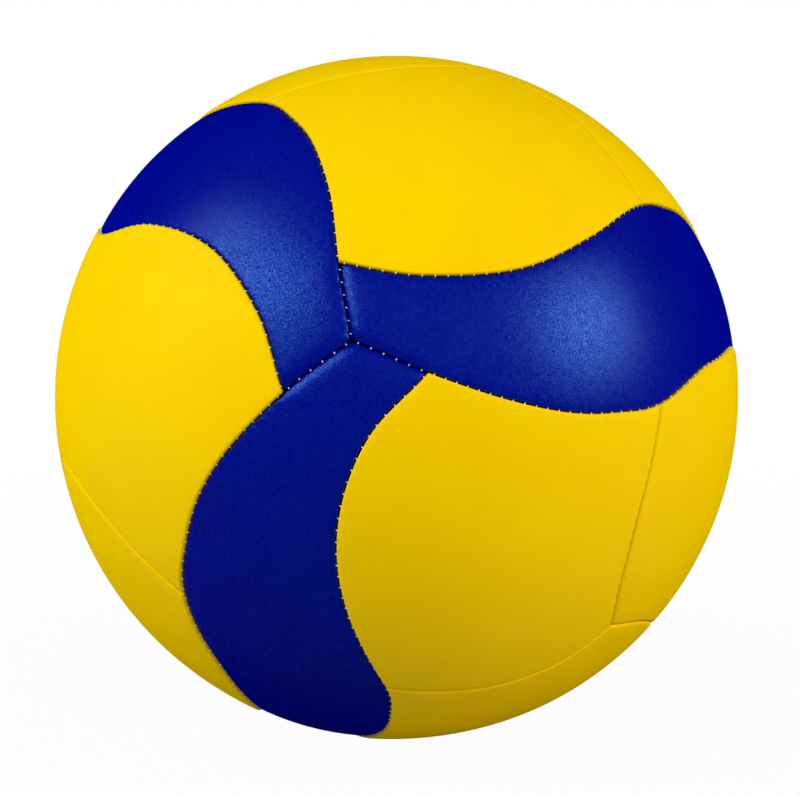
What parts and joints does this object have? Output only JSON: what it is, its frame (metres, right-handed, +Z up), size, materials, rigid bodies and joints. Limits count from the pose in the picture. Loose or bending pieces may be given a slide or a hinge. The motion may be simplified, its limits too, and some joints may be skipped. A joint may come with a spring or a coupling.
{
  "type": "volleyball",
  "caption": "Full-size indoor volleyball: wave-shaped blue and yellow sewn panels over foam and cloth, held out by a rubber bladder with a needle valve.",
  "frame": {"origin": "centre of the ball", "axes": "+Z up, -Y towards the viewer of the picture, +X to the viewer's right; the panel pattern is turned to lie as pictured"},
  "size_m": [0.21, 0.21, 0.2099],
  "materials": {
    "blue_skin": "satin synthetic leather, fine grain",
    "yellow_skin": "satin synthetic leather, fine grain",
    "foam": "closed-cell foam sheet",
    "lining": "plain woven cloth",
    "bladder_rubber": "matt butyl rubber",
    "valve_rubber": "smooth soft rubber"
  },
  "bodies": {
    "root": {"blue_cover_1": "blue_skin", "blue_cover_2": "blue_skin", "blue_cover_3": "blue_skin", "blue_cover_4": "blue_skin", "blue_cover_5": "blue_skin", "blue_cover_6": "blue_skin", "blue_foam_1": "foam", "blue_foam_2": "foam", "blue_foam_3": "foam", "blue_foam_4": "foam", "blue_foam_5": "foam", "blue_foam_6": "foam", "blue_lining_1": "lining", "blue_lining_2": "lining", "blue_lining_3": "lining", "blue_lining_4": "lining", "blue_lining_5": "lining", "blue_lining_6": "lining", "yellow_cover_1": "yellow_skin", "yellow_cover_2": "yellow_skin", "yellow_cover_3": "yellow_skin", "yellow_cover_4": "yellow_skin", "yellow_cover_5": "yellow_skin", "yellow_cover_6": "yellow_skin", "yellow_cover_7": "yellow_skin", "yellow_cover_8": "yellow_skin", "yellow_cover_9": "yellow_skin", "yellow_cover_10": "yellow_skin", "yellow_cover_11": "yellow_skin", "yellow_cover_12": "yellow_skin", "yellow_foam_1": "foam", "yellow_foam_2": "foam", "yellow_foam_3": "foam", "yellow_foam_4": "foam", "yellow_foam_5": "foam", "yellow_foam_6": "foam", "yellow_foam_7": "foam", "yellow_foam_8": "foam", "yellow_foam_9": "foam", "yellow_foam_10": "foam", "yellow_foam_11": "foam", "yellow_foam_12": "foam", "yellow_lining_1": "lining", "yellow_lining_2": "lining", "yellow_lining_3": "lining", "yellow_lining_4": "lining", "yellow_lining_5": "lining", "yellow_lining_6": "lining", "yellow_lining_7": "lining", "yellow_lining_8": "lining", "yellow_lining_9": "lining", "yellow_lining_10": "lining", "yellow_lining_11": "lining", "yellow_lining_12": "lining", "bladder": "bladder_rubber", "valve_patch": "bladder_rubber", "valve_body": "valve_rubber", "valve_plug": "valve_rubber"}
  },
  "joints": []
}
